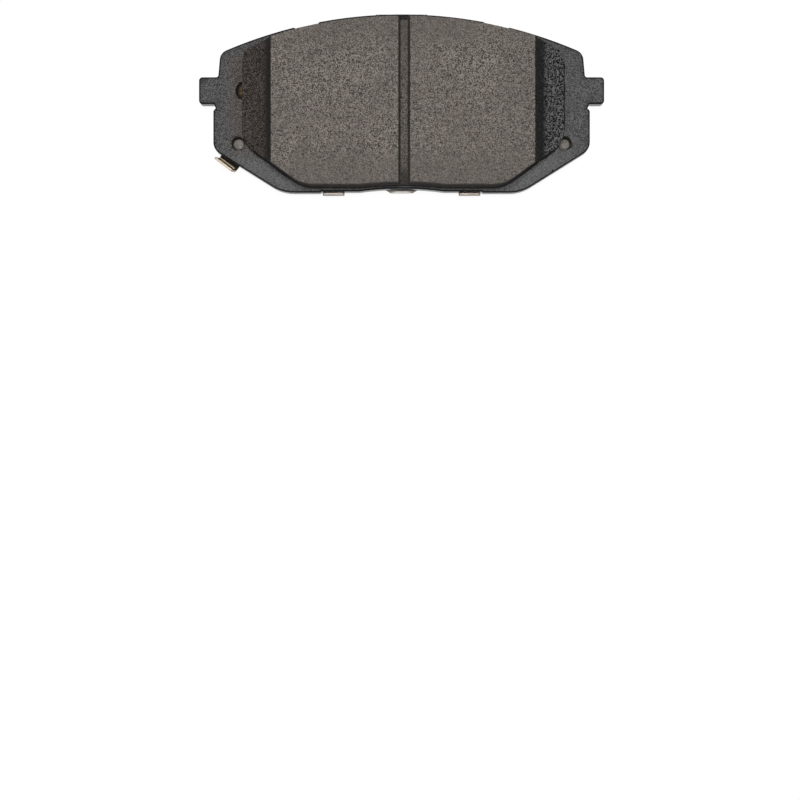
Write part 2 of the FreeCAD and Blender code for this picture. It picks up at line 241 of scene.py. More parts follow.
def bentStrip(rows, thickness, widthStops, halfWidths, tipCorner, tailCorner=0.0, edge=0.12, pitch=0.5):
    # a rounded rectangle carried along the strip's middle line (outwards, up, bend radius). Its width
    # follows the stops along the line, less what the rounded corners of the two ends take off.
    line, normal, at = roundedPath(rows, pitch, closed=False, arcSteps=10)
    length = at[-1]
    ends = np.array([0, 0.02, 0.06, 0.12, 0.2, 0.3, 0.42, 0.56, 0.75, 1])
    extra = np.concatenate([ends * max(tailCorner, edge), length - ends * max(tipCorner, edge)])
    stations = np.unique(np.round(np.concatenate([at, extra]), 5))
    line = np.stack([np.interp(stations, at, line[:, k]) for k in (0, 1)], 1)
    normal = np.stack([np.interp(stations, at, normal[:, k]) for k in (0, 1)], 1)
    normal /= np.linalg.norm(normal, axis=1, keepdims=True)
    half = np.interp(stations, widthStops, halfWidths)
    for corner, away in ((tailCorner, stations), (tipCorner, length - stations)):
        inside = np.clip(corner - away, 0, corner)
        half = half - corner + np.sqrt(np.maximum(corner ** 2 - inside ** 2, 0))
    away = np.clip(np.minimum(stations, length - stations) / edge, 0, 1)
    pinch = edge * (1 - np.sqrt(np.maximum(1 - (1 - away) ** 2, 0)))
    theta = np.radians([0, 30, 60, 90])
    offset = np.concatenate([theta, theta + np.pi / 2, theta + np.pi, theta + 1.5 * np.pi])
    signAcross = np.repeat([1, -1, -1, 1], 4)
    signUp = np.repeat([1, 1, -1, -1], 4)
    across = signAcross * (half - pinch - edge)[:, None] + edge * np.cos(offset)
    up = signUp * (thickness / 2 - pinch - edge)[:, None] + edge * np.sin(offset)
    across = np.vstack([across[:1], across, across[-1:]])
    up = np.vstack([up[:1] * 0, up, up[-1:] * 0])
    line = np.vstack([line[:1], line, line[-1:]])
    normal = np.vstack([normal[:1], normal, normal[-1:]])
    x = line[:, :1] + normal[:, :1] * up
    z = line[:, 1:] + normal[:, 1:] * up
    vertices = np.stack([x, across, z], 2).reshape(-1, 3)
    return vertices, gridFaces(len(across), 16), np.zeros((0, 3), int)


def turnedPart(rows, x, y, steps=72, pitch=0.4):
    # a profile (radius, height, corner) carried round an upright axis, both ends on the axis
    line, _, _ = roundedPath(rows, pitch, closed=False)
    angle = np.linspace(0, 2 * np.pi, steps, endpoint=False)
    ring = np.stack([x + line[:, :1] * np.cos(angle), y + line[:, :1] * np.sin(angle),
                     np.repeat(line[:, 1:], steps, 1)], 2)
    return ring.reshape(-1, 3), gridFaces(len(line), steps), np.zeros((0, 3), int)


def facingOut(shell):
    # the signed volume is negative where the faces of a closed shell point inwards
    vertices, quads, triangles = shell
    a, b, c, d = (vertices[quads[:, k]] for k in range(4))
    volume = (np.cross(a, b) * c).sum() + (np.cross(a, c) * d).sum()
    if len(triangles):
        a, b, c = (vertices[triangles[:, k]] for k in range(3))
        volume += (np.cross(a, b) * c).sum()
    if volume < 0:
        return vertices, quads[:, ::-1], triangles[:, ::-1]
    return shell


def makePiece(name, shells, material, nodeName, sharpAngle=38, weld=True):
    # joins closed shells into one object that stands for a CAD node
    vertices, faces, count = [], [], 0
    for shell in shells:
        points, quads, triangles = facingOut(shell)
        vertices.append(points)
        faces += (quads + count).tolist() + (triangles + count).tolist()
        count += len(points)
    mesh = bpy.data.meshes.new(name)
    mesh.from_pydata((np.vstack(vertices) * mm).tolist(), [], faces)
    if weld:
        shape = bmesh.new()
        shape.from_mesh(mesh)
        bmesh.ops.remove_doubles(shape, verts=shape.verts, dist=2e-7)
        shape.to_mesh(mesh)
        shape.free()
    finishMesh(mesh, sharpAngle)
    piece = bpy.data.objects.new(name, mesh)
    bpy.context.scene.collection.objects.link(piece)
    mesh.materials.append(material)
    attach(piece, "root")
    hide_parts(nodeName)
    print("%s: %d faces" % (name, len(mesh.polygons)))
    return piece


def finishMesh(mesh, sharpAngle):
    # smooth everywhere but along edges sharper than the angle in degrees
    mesh.polygons.foreach_set("use_smooth", np.ones(len(mesh.polygons), bool))
    mesh.set_sharp_from_angle(angle=math.radians(sharpAngle))
    mesh.update()


def readPoints(mesh):
    # the vertices' places in millimetres
    points = np.zeros(len(mesh.vertices) * 3)
    mesh.vertices.foreach_get("co", points)
    return points.reshape(-1, 3) / mm


def moveAlongNormals(mesh, distance):
    # each vertex moves along its own normal, by a distance in millimetres
    normals = np.zeros(len(mesh.vertices) * 3)
    mesh.vertex_normals.foreach_get("vector", normals)
    points = readPoints(mesh) + normals.reshape(-1, 3) * distance[:, None]
    mesh.vertices.foreach_set("co", (points * mm).astype(np.float32).ravel())
    mesh.update()


def paintPoints(mesh, name, values):
    # one number for each vertex, which a material reads by this name
    attribute = mesh.attributes.new(name, "FLOAT", "POINT")
    attribute.data.foreach_set("value", values.astype(np.float32))


# shader helpers

def setSockets(tree, made, sockets):
    # a socket's value is another node's output or a plain value
    for key, value in sockets.items():
        if isinstance(value, bpy.types.NodeSocket):
            tree.links.new(value, made.inputs[key])
        else:
            made.inputs[key].default_value = value


def addNode(tree, kind, sockets=None, **settings):
    made = tree.nodes.new("ShaderNode" + kind)
    for key, value in settings.items():
        setattr(made, key, value)
    setSockets(tree, made, sockets or {})
    return made


def use(tree, group, sockets):
    # places a node group in a material with its own values
    made = tree.nodes.new("ShaderNodeGroup")
    made.node_tree = group
    setSockets(tree, made, sockets)
    return made.outputs[0]


def mathNode(tree, operation, *values, clamp=False):
    return addNode(tree, "Math", dict(enumerate(values)), operation=operation, use_clamp=clamp).outputs[0]


def times(tree, a, b, clamp=False):
    return mathNode(tree, "MULTIPLY", a, b, clamp=clamp)


def plus(tree, a, b, clamp=False):
    return mathNode(tree, "ADD", a, b, clamp=clamp)


def minus(tree, a, b):
    return mathNode(tree, "SUBTRACT", a, b)


def larger(tree, a, b):
    return mathNode(tree, "MAXIMUM", a, b)


def scaled(tree, value, factor, offset, clamp=False):
    # value times factor plus offset
    return mathNode(tree, "MULTIPLY_ADD", value, factor, offset, clamp=clamp)


def vectorNode(tree, operation, a, b=(0.0, 0.0, 0.0), result=0):
    return addNode(tree, "VectorMath", {0: a, 1: b}, operation=operation).outputs[result]


def blend(tree, factor, a, b):
    return addNode(tree, "Mix", {0: factor, 6: a, 7: b}, data_type="RGBA").outputs[2]


def ramped(tree, value, low, high, outLow=0.0, outHigh=1.0):
    # eased from one level to the other while the value goes from low to high
    return addNode(tree, "MapRange", {"Value": value, "From Min": low, "From Max": high,
                                      "To Min": outLow, "To Max": outHigh},
                   interpolation_type="SMOOTHSTEP").outputs[0]


def noise(tree, place, scale, detail, roughness=0.5):
    return addNode(tree, "TexNoise", {"Vector": place, "Scale": scale, "Detail": detail,
                                      "Roughness": roughness})


def partsOf(tree, vector):
    return addNode(tree, "SeparateXYZ", {0: vector}).outputs


def facingUp(tree):
    # 1 where the surface faces straight up, 0 on a wall, -1 straight down
    return partsOf(tree, addNode(tree, "NewGeometry").outputs["Normal"])[2]


def shade(level, tint=(1.0, 1.0, 1.0)):
    return (level * tint[0], level * tint[1], level * tint[2], 1.0)


def newGroup(name, inputs, outputs):
    group = bpy.data.node_groups.new(name, "ShaderNodeTree")
    for label, kind in inputs:
        group.interface.new_socket(label, in_out="INPUT", socket_type="NodeSocket" + kind)
    for label, kind in outputs:
        group.interface.new_socket(label, in_out="OUTPUT", socket_type="NodeSocket" + kind)
    entry = group.nodes.new("NodeGroupInput")
    leave = group.nodes.new("NodeGroupOutput")
    return group, entry.outputs, leave.inputs


def grainGroup():
    # fine mottling: two sizes of noise added and stretched in contrast
    group, given, result = newGroup(
        "fineGrain", [("Vector", "Vector"), ("Scale", "Float"), ("Contrast", "Float")], [("Value", "Float")])
    fine = noise(group, given["Vector"], given["Scale"], 2.0, 0.6).outputs[0]
    coarse = noise(group, given["Vector"], times(group, given["Scale"], 0.31), 2.0, 0.6).outputs[0]
    both = plus(group, times(group, fine, 0.8), times(group, coarse, 0.2))
    stretched = scaled(group, minus(group, both, 0.5), given["Contrast"], 0.5)
    group.links.new(stretched, result["Value"])
    return group


def fleckGroup():
    # separate specks: the middles of a share of random cells, each of its own size
    group, given, result = newGroup(
        "flecks", [("Vector", "Vector"), ("Scale", "Float"), ("Share", "Float"), ("Size", "Float")],
        [("Mask", "Float")])
    ragged = noise(group, given["Vector"], times(group, given["Scale"], 2.5), 2.0).outputs["Color"]
    push = mathNode(group, "DIVIDE", 0.55, given["Scale"])
    pushed = addNode(group, "VectorMath", {0: ragged, "Scale": push}, operation="SCALE").outputs[0]
    shifted = vectorNode(group, "ADD", given["Vector"], pushed)
    cells = addNode(group, "TexVoronoi", {"Vector": shifted, "Scale": given["Scale"]})
    chance = addNode(group, "SeparateColor", {0: cells.outputs["Color"]})
    chosen = mathNode(group, "LESS_THAN", chance.outputs[0], given["Share"])
    reach = times(group, given["Size"], scaled(group, chance.outputs[1], 0.8, 0.3))
    near = minus(group, 1.0, mathNode(group, "DIVIDE", cells.outputs["Distance"], reach))
    solid = times(group, near, 2.5, clamp=True)
    group.links.new(times(group, solid, chosen), result["Mask"])
    return group


def streakGroup():
    # scratches and rolling lines: noise drawn out by a stretch for each direction
    group, given, result = newGroup(
        "streaks", [("Vector", "Vector"), ("Stretch", "Vector"), ("Detail", "Float")], [("Value", "Float")])
    drawn = vectorNode(group, "MULTIPLY", given["Vector"], given["Stretch"])
    lines = noise(group, drawn, 1.0, given["Detail"], 0.65).outputs[0]
    group.links.new(ramped(group, lines, 0.3, 0.7), result["Value"])
    return group


def patchGroup():
    # large soft patches, such as dust and handling marks
    group, given, result = newGroup(
        "patches", [("Vector", "Vector"), ("Scale", "Float"), ("Amount", "Float")], [("Mask", "Float")])
    cloud = noise(group, given["Vector"], given["Scale"], 4.0, 0.6).outputs[0]
    high = minus(group, 0.78, times(group, given["Amount"], 0.3))
    group.links.new(ramped(group, cloud, minus(group, high, 0.22), high), result["Mask"])
    return group


fineGrain, flecks, streaks, patches = grainGroup(), fleckGroup(), streakGroup(), patchGroup()
print("shader groups made")


def newMaterial(name, roughness, metallic=0.0, specular=0.5):
    # gives the material, its node tree, its shader and the place on the piece
    made = bpy.data.materials.new(name)
    made.use_nodes = True
    tree = made.node_tree
    shader = tree.nodes["Principled BSDF"]
    shader.inputs["Roughness"].default_value = roughness
    shader.inputs["Metallic"].default_value = metallic
    shader.inputs["Specular IOR Level"].default_value = specular
    place = addNode(tree, "TexCoord").outputs["Object"]
    return made, tree, shader, place


def bumped(tree, shader, height, depth):
    # the depth is in millimetres
    bump = addNode(tree, "Bump", {"Height": height, "Distance": depth * mm, "Strength": 1.0})
    tree.links.new(bump.outputs[0], shader.inputs["Normal"])


# sizes that several pieces share

pad = {
    "bodyHalf": 69.7, "crown": 33.0, "crownRadius": 165.0, "foot": -33.0, "stepDepth": 0.42,
    "stepHalf": 30.15, "slantFoot": 44.3, "slantAngle": 32.1, "archHalf": 15.8, "archRise": 1.1,
    "rivetInset": 9.2, "rivetEdge": 6.8, "rivetHole": 4.9, "anchorHole": 7.0,
    "anchors": [(-57.8, 4.7), (-21.0, 6.0), (21.0, 6.0), (49.0, 4.7)],
}

friction = {
    "half": 59.3, "offset": 0.5, "crownInset": 2.6, "base": -31.1, "slantRun": 22.2, "slantAngle": 36.0,
    "topCorner": 5.5, "sideCorner": 9.2, "blendRadius": 14.0, "archRise": 0.9,
    "rampLength": 11.2, "rampRadius": 14.5, "footHeight": 0.8,
    "slotWidth": 3.9, "slotDepth": 8.0, "slotOffset": 0.95,
    "edge": 0.35, "chipDepth": 0.22, "pitch": 0.45, "across": 132,
    "level": 0.176, "tint": (1.06, 0.935, 0.835), "warm": (1.16, 0.92, 0.8), "bump": 0.08,
    "grain": {"Scale": 2500.0, "Contrast": 15.0}, "rightGrain": {"Scale": 1900.0, "Contrast": 22.0},
    "pits": {"Scale": 1900.0, "Share": 0.42, "Size": 0.6},
    "bigPits": {"Scale": 900.0, "Share": 0.24, "Size": 0.38},
    "flakes": {"Scale": 1700.0, "Share": 0.26, "Size": 0.5},
    "leftSteepShade": (3.5, 0.8), "rightSteepShade": (4.8, 3.0), "wallFade": (1.0, 6.0),
}


def makeFrictionMaterial():
    # pressed friction mix: grey-brown grain, dark pits, pale metal specks, and darker ground ramps
    made, tree, shader, place = newMaterial("frictionMix", 0.85, specular=0.25)
    f = friction
    tint, level, warm = f["tint"], f["level"], f["warm"]
    grain = use(tree, fineGrain, {"Vector": place, **f["grain"]})
    pits, bigPits, pale = (use(tree, flecks, {"Vector": place, **f[key]})
                           for key in ("pits", "bigPits", "flakes"))
    cloud = use(tree, patches, {"Vector": place, "Scale": 45.0, "Amount": 0.7})
    porous = use(tree, patches, {"Vector": place, "Scale": 70.0, "Amount": 1.2})
    x, y, z = partsOf(tree, place)
    colour = blend(tree, grain, shade(level * 0.42, tint), shade(level * 1.8, tint))
    colour = blend(tree, times(tree, cloud, 0.35), colour, shade(level * 0.85, (1.06, 0.92, 0.84)))
    colour = blend(tree, times(tree, pale, 0.55), colour, shade(level * 2.3, (1.0, 0.97, 0.9)))
    dark = times(tree, larger(tree, pits, bigPits), ramped(tree, porous, 0.0, 1.0, 0.45, 1.0))
    colour = blend(tree, times(tree, dark, 0.9), colour, shade(level * 0.15, tint))
    # the mix is denser and smoother along the crown and the foot
    band = ramped(tree, mathNode(tree, "ABSOLUTE", y), 16 * mm, 25 * mm)
    colour = blend(tree, times(tree, band, 0.35), colour, shade(level * 0.78, tint))
    rampEdge = (f["half"] - f["rampLength"]) * mm
    x = minus(tree, x, f["offset"] * mm)
    below = ramped(tree, z, (frictionFace - 0.05) * mm, (frictionFace - 0.35) * mm)
    onLeft = times(tree, below, ramped(tree, x, -rampEdge + 0.3 * mm, -rampEdge - 0.1 * mm))
    onRight = times(tree, below, ramped(tree, x, rampEdge - 0.3 * mm, rampEdge + 0.1 * mm))
    grinding = use(tree, streaks, {"Vector": place, "Stretch": (1800.0, 160.0, 500.0), "Detail": 4.0})
    leftColour = blend(tree, grain, shade(level * 0.04, warm), shade(level * 0.5, warm))
    leftColour = blend(tree, times(tree, pale, 0.6), leftColour, shade(level * 1.2))
    rightGrain = use(tree, fineGrain, {"Vector": place, **f["rightGrain"]})
    rightColour = blend(tree, rightGrain, shade(level * 0.02), shade(level * 1.6))
    rightColour = blend(tree, times(tree, grinding, 0.5), rightColour, shade(level * 0.06))
    fromEdge = minus(tree, mathNode(tree, "ABSOLUTE", x), rampEdge)
    # painted shade: each ramp is darkened where it is steepest, next to the face, fading between two
    # distances from its edge
    (leftEnd, leftStart), (rightEnd, rightStart) = f["leftSteepShade"], f["rightSteepShade"]
    steepShadeLeft = times(tree, ramped(tree, fromEdge, leftEnd * mm, leftStart * mm), 0.9)
    steepShadeRight = times(tree, ramped(tree, fromEdge, rightEnd * mm, rightStart * mm), 0.85)
    colour = blend(tree, onLeft, colour, blend(tree, steepShadeLeft, leftColour, shade(level * 0.07, warm)))
    colour = blend(tree, onRight, colour, blend(tree, steepShadeRight, rightColour, shade(level * 0.05, tint)))
    # painted shade, with some dirt, lies along the slot's edges, on its floor and at its ends
    fromMiddle = mathNode(tree, "ABSOLUTE", minus(tree, x, (f["slotOffset"] - f["offset"]) * mm))
    slotHalf = f["slotWidth"] / 2 * mm
    inSlot = times(tree, mathNode(tree, "LESS_THAN", fromMiddle, slotHalf + 0.1 * mm),
                   ramped(tree, z, (frictionFace - 0.05) * mm, (frictionFace - 0.5) * mm))
    slotEnds = larger(tree, ramped(tree, y, -22.5 * mm, -27.5 * mm, 0.2, 0.75),
                      ramped(tree, y, 26 * mm, 32 * mm, 0.2, 0.4))
    slotSides = ramped(tree, fromMiddle, slotHalf - 1.0 * mm, slotHalf - 0.3 * mm, 0.2, 0.8)
    # painted shade with some dirt inside the slot, and along its edges on the face
    slotDirtAndShade = times(tree, inSlot, larger(tree, slotSides, slotEnds))
    rim = times(tree, minus(tree, 1.0, inSlot),
                ramped(tree, fromMiddle, slotHalf + 0.4 * mm, slotHalf + 0.1 * mm, 0.0, 0.75))
    colour = blend(tree, larger(tree, slotDirtAndShade, rim), colour, shade(level * 0.15, tint))
    # painted shade on the side walls, deepening from near the face down towards the plate
    wallShade = times(tree, ramped(tree, facingUp(tree), 0.6, 0.1), minus(tree, 1.0, inSlot))
    fadeTop, fadeFoot = ((frictionFace - depth) * mm for depth in f["wallFade"])
    wallShadeColour = blend(tree, ramped(tree, z, fadeTop, fadeFoot),
                       shade(level * 0.34, tint), shade(level * 0.05, tint))
    colour = blend(tree, times(tree, wallShade, 0.88), colour, wallShadeColour)
    tree.links.new(colour, shader.inputs["Base Color"])
    height = minus(tree, times(tree, grain, 0.7), dark)
    height = plus(tree, height, times(tree, times(tree, rightGrain, onRight), 1.2))
    bumped(tree, shader, height, f["bump"])
    return made


def makeMetal(name, look):
    # plated or bare sheet steel: rolling lines along one direction, dull patches and tiny spots
    made, tree, shader, place = newMaterial(name, look["roughness"], metallic=1.0)
    pale, deep = shade(1.0, look["pale"]), shade(1.0, look["deep"])
    lines = use(tree, streaks, {"Vector": place, "Stretch": look["rolling"], "Detail": 5.0})
    cloud = use(tree, patches, {"Vector": place, "Scale": 130.0, "Amount": 0.8})
    speck = use(tree, flecks, {"Vector": place, "Scale": 900.0, "Share": look["spots"], "Size": 0.35})
    colour = blend(tree, lines, deep, pale)
    colour = blend(tree, times(tree, cloud, 0.3), colour, deep)
    colour = blend(tree, times(tree, speck, 0.5), colour, shade(0.12, (1.1, 1.0, 0.85)))
    # the broad back face is rubbed brighter than the folds and edges
    rubbed = times(tree, ramped(tree, facingUp(tree), -0.7, -0.95), scaled(tree, lines, 0.3, 0.6))
    colour = blend(tree, rubbed, colour, shade(1.7, look["pale"]))
    tree.links.new(colour, shader.inputs["Base Color"])
    rough = plus(tree, times(tree, lines, -0.12), times(tree, cloud, 0.15))
    rough = plus(tree, rough, look["roughness"], clamp=True)
    tree.links.new(rough, shader.inputs["Roughness"])
    bumped(tree, shader, lines, look["bump"])
    return made


# outlines that several pieces share

crownCentre = (0.0, pad["crown"] - pad["crownRadius"])
slantTan = math.tan(math.radians(pad["slantAngle"]))
slantCos = math.cos(math.radians(pad["slantAngle"]))
rivetX = pad["bodyHalf"] - pad["rivetInset"]
rivetY = pad["foot"] + (rivetX - pad["slantFoot"]) * slantTan + pad["rivetEdge"] / slantCos


def crownHeight(x, inset):
    return crownCentre[1] + math.sqrt((pad["crownRadius"] - inset) ** 2 - x ** 2)


def archRows(height, rise):
    # the shallow arch in the middle of the foot, from left to right
    half = pad["archHalf"]
    radius = (half ** 2 + rise ** 2) / (2 * rise)
    spread = math.asin(half / radius)
    return arcRows((0.0, height + rise - radius), radius, math.pi / 2 + spread, math.pi / 2 - spread, 10)


def crownRows(x, inset, count=13):
    # the crown arc from right to left between two corners at that distance from the middle
    radius = pad["crownRadius"] - inset
    start = math.acos(x / radius)
    return arcRows(crownCentre, radius, start, math.pi - start, count)


def mirrored(rows):
    return np.asarray(rows)[::-1] * [-1, 1, 1]


def frictionRows():
    f = friction
    footX = f["half"] - f["slantRun"]
    sideY = f["base"] + f["slantRun"] * math.tan(math.radians(f["slantAngle"]))
    right = [(pad["archHalf"], f["base"], 10), (footX, f["base"], f["blendRadius"]),
             (f["half"], sideY, f["sideCorner"]),
             (f["half"], crownHeight(f["half"], f["crownInset"]), f["topCorner"])]
    rows = np.vstack([archRows(f["base"], f["archRise"]), right,
                      crownRows(f["half"], f["crownInset"]), mirrored(right)])
    return rows + [f["offset"], 0, 0]


def shimRows(half, margin, corner, lugRadius=0.0):
    # a shim follows the plate a margin inside its long edges; a lug reaches out to the right rivet
    base = pad["foot"] + pad["stepDepth"] + margin
    footX = pad["slantFoot"] - margin * math.tan(math.radians(pad["slantAngle"]) / 2)
    right = [(pad["archHalf"], base, 10), (footX, base, corner),
             (half, base + (half - footX) * slantTan, corner),
             (half, crownHeight(half, margin), corner)]
    lug = []
    if lugRadius:
        lug = [(half, rivetY - lugRadius, 1.2), (rivetX + lugRadius, rivetY - lugRadius, lugRadius),
               (rivetX + lugRadius, rivetY + lugRadius, lugRadius), (half, rivetY + lugRadius, 1.2)]
    return np.vstack([archRows(base, pad["archRise"]), right[:3], *([lug] if lug else []), right[3:],
                      crownRows(half, margin), mirrored(right)])


# backing plate

plate = {
    "upperInset": 1.8, "upperTaper": 5.0, "earReach": 5.3, "earDrop": 23.3, "earHeight": 9.9,
    "reliefRoot": 0.2, "reliefDepth": 0.9, "reliefHeight": 1.6,
    "recessAt": 35.2, "recessHalf": 4.2, "recessDepth": 0.6,
    "frontRoll": (0.5, 0.42), "backRoll": 0.25, "dustReach": 5.5, "darkRim": 0.62,
    "level": 0.056, "tint": (1.0, 1.0, 1.01), "roughness": 0.48, "dustTint": (1.2, 0.8, 0.66),
    "rubbedAt": (-73.6, 9.0), "bump": 0.05, "peel": {"Scale": 2500.0, "Contrast": 11.0},
}


def makePaint():
    # black stoving paint with fine orange peel, browned by friction dust, with painted shade on its rolled
    # edges and along the foot of the friction material, and a painted sheen along its lower edges
    made, tree, shader, place = newMaterial("blackPaint", plate["roughness"], specular=0.35)
    peel = use(tree, fineGrain, {"Vector": place, **plate["peel"]})
    cloud = use(tree, patches, {"Vector": place, "Scale": 60.0, "Amount": 0.6})
    dust, edge, gap = (addNode(tree, "Attribute", attribute_name=name).outputs["Fac"]
                       for name in ("dust", "edge", "gap"))
    level, tint, dustTint = plate["level"], plate["tint"], plate["dustTint"]
    colour = blend(tree, peel, shade(0.0, tint), shade(level * 2.1, tint))
    brown = blend(tree, peel, shade(level * 0.3, dustTint), shade(level * 2.0, dustTint))
    dusty = times(tree, dust, scaled(tree, cloud, 0.3, 0.75), clamp=True)
    colour = blend(tree, dusty, colour, brown)
    x, y, _ = partsOf(tree, place)
    # painted sheen: the paint is lighter along the lower edges; one ear's corner is rubbed brown
    lowerSheen = times(tree, ramped(tree, y, -14 * mm, -25 * mm), ramped(tree, cloud, 0.0, 1.0, 0.85, 1.0))
    sheenColour = blend(tree, peel, shade(level * 0.9, tint), shade(level * 2.7, tint))
    colour = blend(tree, lowerSheen, colour, sheenColour)
    rubbedAt = tuple(v * mm for v in (*plate["rubbedAt"], plateFront))
    corner = vectorNode(tree, "DISTANCE", place, rubbedAt, "Value")
    rubbed = ramped(tree, corner, 2.2 * mm, 0.9 * mm)
    colour = blend(tree, times(tree, rubbed, 0.7), colour, shade(0.012, (1.8, 0.9, 0.6)))
    # painted shade on the plate just beyond the slot's upper end
    fromSlot = mathNode(tree, "ABSOLUTE", minus(tree, x, friction["slotOffset"] * mm))
    slotEndShade = times(tree, ramped(tree, fromSlot, 2.7 * mm, 1.7 * mm), ramped(tree, y, 28.5 * mm, 29.5 * mm))
    # painted shade along the foot of the friction material and beyond the slot's upper end
    footAndSlotShade = larger(tree, ramped(tree, gap, 0.65, 0.25), times(tree, slotEndShade, 0.75))
    # the painted shade of the rolled edges joins the painted shade at the foot and beyond the slot
    dark = larger(tree, edge, footAndSlotShade)
    colour = blend(tree, times(tree, dark, 0.92), colour, shade(0.005))
    tree.links.new(colour, shader.inputs["Base Color"])
    upright = ramped(tree, mathNode(tree, "ABSOLUTE", facingUp(tree)), 0.5, 0.2)
    rough = plus(tree, times(tree, dusty, 0.2), times(tree, peel, 0.1))
    rough = plus(tree, rough, times(tree, upright, -0.24))
    rough = plus(tree, rough, plate["roughness"] - 0.05)
    rough = plus(tree, rough, times(tree, dark, 0.6), clamp=True)
    tree.links.new(rough, shader.inputs["Roughness"])
    shear = use(tree, streaks, {"Vector": place, "Stretch": (1600.0, 1600.0, 160.0), "Detail": 3.0})
    height = times(tree, peel, ramped(tree, upright, 0.0, 1.0, 0.5, 0.12))
    height = plus(tree, height, times(tree, times(tree, shear, upright), 0.12))
    bumped(tree, shader, height, plate["bump"])
    return made


def plateRows():
    p = plate
    half, upper = pad["bodyHalf"], pad["bodyHalf"] - p["upperInset"]
    earTop = pad["crown"] - p["earDrop"]
    earFoot = earTop - p["earHeight"]
    # the shoulder is where the leaning side meets the crown arc
    lean = math.radians(p["upperTaper"])
    start = np.array([upper, earTop - crownCentre[1]])
    direction = np.array([-math.sin(lean), math.cos(lean)])
    along = start @ direction
    shoulder = start + direction * (-along + math.sqrt(along ** 2 - start @ start + pad["crownRadius"] ** 2))
    low = pad["foot"] + pad["stepDepth"]
    right = [
        (pad["archHalf"], low, 10), (pad["stepHalf"] - pad["stepDepth"], low, 0.4),
        (pad["stepHalf"], pad["foot"], 0.7), (pad["slantFoot"], pad["foot"], 15),
        (half, pad["foot"] + (half - pad["slantFoot"]) * slantTan, 5),
        (half, earFoot - p["reliefHeight"] - p["reliefDepth"], 0.75),
        (half - p["reliefDepth"], earFoot - p["reliefHeight"], 0.4), (half - p["reliefRoot"], earFoot, 0.4),
        (half + p["earReach"], earFoot, 1.3), (half + p["earReach"], earTop, 1.3), (upper, earTop, 0.9),
        (shoulder[0], shoulder[1] + crownCentre[1], 4),
    ]
    # the crown, with a shallow recess for each top tab of the shim
    radius, deep = pad["crownRadius"], p["recessDepth"]
    at = math.asin(p["recessAt"] / radius)
    floorHalf, mouthHalf = p["recessHalf"] / radius, (p["recessHalf"] + deep) / radius
    ends = math.atan2(shoulder[1], shoulder[0])
    recess = np.array([(-mouthHalf, radius, 0.72), (-floorHalf, radius - deep, 0.3),
                       (floorHalf, radius - deep, 0.3), (mouthHalf, radius, 0.72)])
    angle = np.concatenate([math.pi / 2 - at + recess[:, 0], math.pi / 2 + at + recess[:, 0]])
    ring = np.tile(recess[:, 1], 2)
    corners = np.stack([ring * np.cos(angle), crownCentre[1] + ring * np.sin(angle),
                        np.tile(recess[:, 2], 2)], 1)
    return np.vstack([
        archRows(low, pad["archRise"]), right,
        arcRows(crownCentre, radius, ends, angle[0], 4), corners[:4],
        arcRows(crownCentre, radius, angle[3], angle[4], 10), corners[4:],
        arcRows(crownCentre, radius, angle[7], math.pi - ends, 4), mirrored(right),
    ])


def makePlate():
    # the outline and every hole share one edge profile: rolled at the front, sheared at the back
    profile = edgeProfile(plateBack, plateFront, plate["frontRoll"], plate["backRoll"], wallSteps=5)
    outline = roundedPath(plateRows(), 0.7)[:2]
    holes = [circleLoop(x, y, pad["anchorHole"] / 2) for x, y in pad["anchors"]]
    holes += [circleLoop(x, rivetY, pad["rivetHole"] / 2) for x in (-rivetX, rivetX)]
    shell = sheetShell([outline] + holes, profile, cell=2.2)
    piece = makePiece("backingPlate", [shell], makePaint(), "backing_plate", weld=False)
    points = readPoints(piece.data)
    onFront = points[:, 2] > plateFront - 0.5
    covered = roundedPath(frictionRows(), 1.0)[0]
    gap = gapTo(points[:, :2], covered)
    across, along = points[:, 0], points[:, 1]
    # dust lies beside the left ramp and along the crown, and leaves the upper corners clean
    ends = np.clip((-across - 50) / 8, 0, 1) * np.clip((19 - along) / 4, 0, 1)
    ends = np.maximum(ends, 0.8 * (along > 20) * np.clip((50 - abs(across)) / 3, 0, 1))
    drift = 0.75 + 0.25 * smoothNoise(points, 9.0, 3)
    dust = np.exp(-(gap / plate["dustReach"]) ** 2) * (0.15 + 0.85 * ends) * drift * onFront
    paintPoints(piece.data, "dust", np.clip(dust, 0, 1))
    # painted shade: the rolled front edge is darkened close to the outline
    rim = gapTo(points[:, :2], outline[0])
    onRoll = points[:, 2] > plateFront - plate["frontRoll"][1] - 0.03
    paintPoints(piece.data, "edge", np.clip((plate["darkRim"] - rim) / 0.14, 0, 1) * onRoll)
    # distance to the friction material's foot in millimetres, less than zero under it; on the left side it
    # is pushed 1.5 further out, so no painted shade falls there
    signed = gap * np.where(insideLoop(points[:, :2], covered), -1, 1)
    paintPoints(piece.data, "gap", np.where(onFront, signed + 1.5 * (across < -56), 9.0))


makePlate()


# friction block and the bond layer under it

